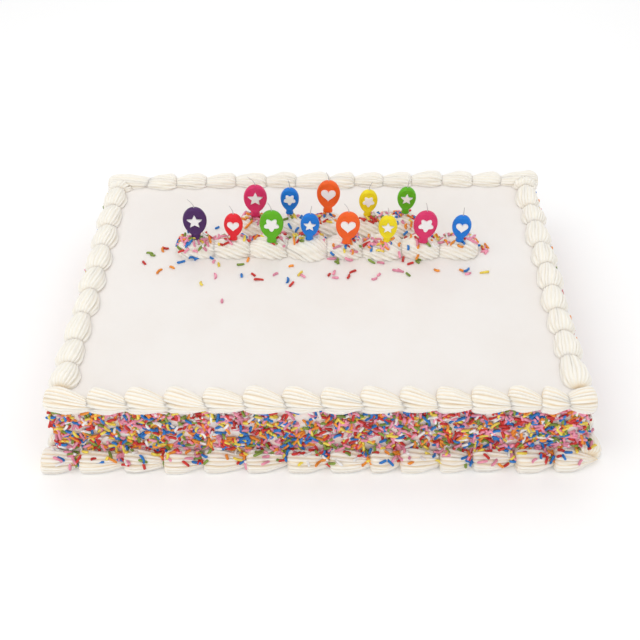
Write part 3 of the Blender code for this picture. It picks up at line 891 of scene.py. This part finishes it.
# Where strands gather on the mounds: x and y in mm, and how many
gatheredStrands = (
    (-119, 43, 8), (-118, 33, 12), (-108, 30, 14), (-99, 38, 10), (-96, 28, 5), (-83, 40, 5),
    (-65, 37, 6), (-74, 21, 1), (-66, 72, 10), (-60, 61, 14), (-55, 67, 8), (-47, 78, 5),
    (-42, 60, 4), (-57, 41, 8), (-42, 39, 4), (-32, 52, 5), (-28, 43, 6), (-19, 32, 4),
    (-18, 43, 6), (-2, 73, 6), (5, 62, 10), (0, 55, 6), (-2, 40, 8), (14, 20, 4),
    (23, 23, 6), (28, 34, 8), (35, 38, 8), (43, 69, 8), (47, 62, 8), (45, 28, 8),
    (50, 24, 6), (59, 32, 6), (59, 81, 8), (65, 84, 6), (70, 72, 8), (76, 76, 8),
    (74, 54, 8), (78, 61, 6), (77, 22, 6), (78, 38, 4), (94, 39, 10), (102, 45, 10),
    (104, 36, 8), (112, 39, 10), (119, 42, 8), (125, 36, 10), (131, 44, 6), (137, 33, 8),
)
gatheredSpread = {"along": 0.0050, "across": 0.0036}
# How many lie round the foot of each candle, and how far they spread
strandsAtCandle = {"count": 9, "along": 0.0080, "across": 0.0026}
# How many dropped on the shells round the foot, how far out, and how many lie between two shells
fallenStrands = {
    "front": 150,
    "back": 110,
    "side": 70,
    "pastCorner": 0.010,
    "spread": 0.0090,
    "furthest": 0.013,
    "inCrevice": 10,
    "crevicePast": 0.0022,
    "creviceSpread": 0.0028,
    "creviceReach": 0.0115,
}


# A rod of sugar with rounded ends, along X, of unit length, bent sideways
def strandMesh(name, bend):
    s = strandSettings
    slim = s["radius"] / s["length"]
    firstHalf = [(-0.5 + 0.25 * slim, 0.72), (-0.5 + slim, 1.0), (-0.17, 1.0)]
    rings = []
    for x, share in firstHalf + [(-x, share) for x, share in reversed(firstHalf)]:
        sag = bend * (0.25 - x * x)
        reach = slim * share
        ring = [Vector((x, sag + reach * math.cos(a), reach * math.sin(a))) for a in angles(s["sides"])]
        rings.append(ring)
    return meshFromRings(name, rings, Vector((-0.5, 0, 0)), Vector((0.5, 0, 0)))


# A strand on each point, turned by the point's attribute, of random kind and length
def strandTree():
    tree = newTree("strandsOnPoints")
    addInput(tree, "Strand kinds", "NodeSocketCollection")
    addInput(tree, "Length", "NodeSocketFloat", 0.007)
    addInput(tree, "Shortest", "NodeSocketFloat", 0.75)
    addInput(tree, "Longest", "NodeSocketFloat", 1.2)
    addInput(tree, "Seed", "NodeSocketInt", 1)
    addInput(tree, "Sugar", "NodeSocketMaterial")
    nodes, link = tree.nodes, tree.links.new
    start, end = nodes.new("NodeGroupInput"), nodes.new("NodeGroupOutput")
    kinds = nodes.new("GeometryNodeCollectionInfo")
    kinds.inputs["Separate Children"].default_value = True
    kinds.inputs["Reset Children"].default_value = True
    place = nodes.new("GeometryNodeInstanceOnPoints")
    place.inputs["Pick Instance"].default_value = True
    kind = nodes.new("FunctionNodeRandomValue")
    kind.data_type = "INT"
    kind.inputs[4].default_value = 0
    kind.inputs[5].default_value = len(strandSettings["bends"]) - 1
    stretch = nodes.new("FunctionNodeRandomValue")
    stretch.data_type = "FLOAT"
    long = nodes.new("ShaderNodeMath")
    long.operation = "MULTIPLY"
    size = nodes.new("ShaderNodeCombineXYZ")
    realize = nodes.new("GeometryNodeRealizeInstances")
    finish = nodes.new("GeometryNodeSetMaterial")
    link(start.outputs["Points"], place.inputs["Points"])
    link(start.outputs["Strand kinds"], kinds.inputs["Collection"])
    link(kinds.outputs["Instances"], place.inputs["Instance"])
    link(start.outputs["Seed"], kind.inputs["Seed"])
    link(kind.outputs[2], place.inputs["Instance Index"])
    link(start.outputs["Shortest"], stretch.inputs[2])
    link(start.outputs["Longest"], stretch.inputs[3])
    link(start.outputs["Seed"], stretch.inputs["Seed"])
    link(stretch.outputs[1], long.inputs[0])
    link(start.outputs["Length"], long.inputs[1])
    link(long.outputs["Value"], size.inputs["X"])
    link(start.outputs["Length"], size.inputs["Y"])
    link(start.outputs["Length"], size.inputs["Z"])
    link(namedAttribute(tree, "turn", "FLOAT_VECTOR"), place.inputs["Rotation"])
    link(size.outputs["Vector"], place.inputs["Scale"])
    link(place.outputs["Instances"], realize.inputs["Geometry"])
    link(realize.outputs["Geometry"], finish.inputs["Geometry"])
    link(start.outputs["Sugar"], finish.inputs["Material"])
    link(finish.outputs["Geometry"], end.inputs["Geometry"])
    return tree


# Where a strand lies on a surface, and its turn
def lieOn(point, normal, draw, lift, tilt=0.25):
    flat = Vector(normal).to_track_quat("Z", "Y").to_matrix().to_4x4()
    spin = Matrix.Rotation(draw.uniform(0, 2 * math.pi), 4, "Z")
    lean = Matrix.Rotation(draw.uniform(-tilt, tilt), 4, "Y")
    place = Vector(point) + Vector(normal) * (strandSettings["radius"] * strandSettings["standsOff"] + lift)
    return place, tuple((flat @ spin @ lean).to_euler())


# Strands pressed on the bare band of the sides, in layers that stand out further and further
def bandSpots(draw):
    s = strandSettings
    width, depth = slabSettings["halfWidth"], slabSettings["halfDepth"]
    spots = []
    for outward, half, across in (
        (Vector((0, -1, 0)), width, depth),
        (Vector((0, 1, 0)), width, depth),
        (Vector((-1, 0, 0)), depth, width),
        (Vector((1, 0, 0)), depth, width),
    ):
        along = Vector((0, 0, 1)).cross(outward)
        half -= 0.001
        area = 2 * half * (s["bandHigh"] - s["bandLow"])
        for _ in range(int(area * s["perSquareMetre"])):
            x = draw.uniform(-half, half)
            z = draw.uniform(s["bandLow"], s["bandHigh"])
            patch = noise.noise(Vector((x * s["patchScale"], z * s["patchScale"], across * 9)))
            edge = s["edgeWave"] * noise.noise(Vector((x * 60, 7.0, across * 9)))
            bare = s["bareShare"] - patch * min(1.0, (s["bandHigh"] - z) / 0.010)
            if draw.random() < bare or z > s["bandHigh"] - s["edgeWave"] / 2 + edge:
                continue
            layer = draw.choice(s["layers"]) * s["radius"]
            point = outward * (across - 0.0004) + along * x + Vector((0, 0, z))
            spots.append(lieOn(point, outward, draw, layer, 0.3))
    return spots


# Strands laid where rays from above meet a surface
def droppedSpots(surface, places, draw):
    spots = []
    for x, y in places:
        point, normal, _, _ = surface.ray_cast(Vector((x, y, 0.2)), Vector((0, 0, -1)))
        if point is not None and point.z > 0.004:
            spots.append(lieOn(point, normal, draw, 0.0))
    return spots


def surfaceOf(pieces):
    points, faces = [], []
    for piece in pieces:
        start = len(points)
        points += [v.co.copy() for v in piece.data.vertices]
        faces += [tuple(start + v for v in p.vertices) for p in piece.data.polygons]
    return BVHTree.FromPolygons(points, faces)


def sugarLook(name, colour):
    s = sugarSettings
    look, tree, shader = newMaterial("sugar" + name, colour, s["roughness"])
    giveGloss(shader, s)
    cloud = objectNoise(tree, 170, 2)
    darker = tuple(c * s["darker"] for c in colour)
    lighter = tuple(min(0.95, c * s["lighter"] + 0.012) for c in colour)
    clouded = colourRamp(tree, cloud, [(0.38, darker), (0.62, lighter)])
    tree.links.new(clouded, shader.inputs["Base Color"])
    addBump(tree, shader, [(objectNoise(tree, 1800, 2), 0.2, 0.0002)])
    return look


# Places round a point, spread differently along the rows and across them
def scattered(draw, x, y, count, spread):
    return [(x + draw.gauss(0, spread["along"]), y + draw.gauss(0, spread["across"])) for _ in range(count)]


# Places over the shells round the foot: dropped anywhere on them, and gathered between two of them
def footPlaces(draw):
    f = fallenStrands
    width, depth = slabSettings["halfWidth"], slabSettings["halfDepth"]
    beyond = width + f["pastCorner"]

    def away():
        return min(f["furthest"], abs(draw.gauss(0.001, f["spread"])))

    places = []
    for side, count in ((-1, f["front"]), (1, f["back"])):
        places += [(draw.uniform(-beyond, beyond), side * (depth + away())) for _ in range(count)]
    for side in (-1, 1):
        places += [(side * (width + away() * 0.6), draw.uniform(-depth, depth)) for _ in range(f["side"])]
    for name in ("base_border_front", "base_border_back", "base_border_left", "base_border_right"):
        _, axis, line, bounds = pipedRows[name][:4]
        face = math.copysign(depth if axis == "x" else width, line)
        sign = 1 if bounds[-1] > bounds[0] else -1
        for bound in bounds[1:-1]:
            for _ in range(f["inCrevice"]):
                along = bound / 1000 - f["crevicePast"] * sign + draw.gauss(0, f["creviceSpread"])
                out = face + math.copysign(f["creviceReach"] * draw.random() ** 1.3, line)
                places.append((along, out) if axis == "x" else (out, along))
    return places


def allSpots(rows, top, draw):
    spots = bandSpots(draw)
    for x, y, count in gatheredStrands:
        spots += droppedSpots(top, scattered(draw, x / 1000, y / 1000, count, gatheredSpread), draw)
    for x, y, *_ in candleTable:
        places = scattered(draw, x, y, strandsAtCandle["count"], strandsAtCandle)
        spots += droppedSpots(top, places, draw)
    foot = surfaceOf([rows["base_border_" + side] for side in ("front", "left", "right", "back")])
    spots += droppedSpots(foot, footPlaces(draw), draw)
    draw.shuffle(spots)
    return spots


def scatterStrands(rows, slab):
    s = strandSettings
    draw = random.Random(s["seed"])
    top = surfaceOf([rows["mound_front"], rows["mound_back"], slab])
    spots = allSpots(rows, top, draw)
    meshes = [strandMesh(f"strand{i}", bend) for i, bend in enumerate(s["bends"])]
    kinds = helperCollection("strandKinds", meshes)
    tree = strandTree()
    used = 0
    for number, (name, (share, colour)) in enumerate(strandColours.items()):
        upTo = len(spots) if number == len(strandColours) - 1 else used + int(share * len(spots))
        mine = spots[used:upTo]
        used = upTo
        for x, y in looseStrands.get(name, ()):
            mine += droppedSpots(top, [(x / 1000, y / 1000)], draw)
        look = sugarLook(name, colour)
        places, turns = zip(*mine)
        holder = pointsWith("strand" + name, places, {"turn": ("FLOAT_VECTOR", turns)})
        modifier = holder.modifiers.new("strands", "NODES")
        modifier.node_group = tree
        giveInputs(modifier, {
            "Strand kinds": kinds,
            "Length": s["length"],
            "Shortest": s["shortest"],
            "Longest": s["longest"],
            "Seed": 900 + number,
            "Sugar": look,
        })
        mesh = plainMesh(holder)
        holdInside(mesh, 0.0002, 0.0010)
        addPiece("strands" + name, mesh, look, "icing")
        print("strands", name, len(mine), "triangles", sum(len(p.vertices) - 2 for p in mesh.polygons))
    dropCollection(kinds)


# Colour, roughness, scatter, and the scale, strength and depth of the bumps
smallLooks = {
    "motifWhite": ((0.90, 0.88, 0.88), 0.35, 0.1, (300, 0.1, 0.0003)),
    "pickPlastic": ((0.86, 0.86, 0.86), 0.3, 0.3, (500, 0.05, 0.0002)),
    "wickThread": ((0.55, 0.53, 0.52), 0.8, 0.0, (2500, 0.5, 0.0002)),
}


def smallLook(name):
    colour, roughness, scatter, (scale, strength, depth) = smallLooks[name]
    look, tree, shader = newMaterial(name, colour, roughness)
    if scatter:
        letLightIn(shader, scatter, (0.001, 0.001, 0.001))
    addBump(tree, shader, [(objectNoise(tree, scale, 2), strength, depth)])
    return look


aimCamera()
lightStage()
print("stage set")

slab = icedSlab(flatIcing())
print("slab done")
rows = pipeAllRows(pipedIcing())
makeCandles(smallLook("motifWhite"), smallLook("pickPlastic"), smallLook("wickThread"))
scatterStrands(rows, slab)
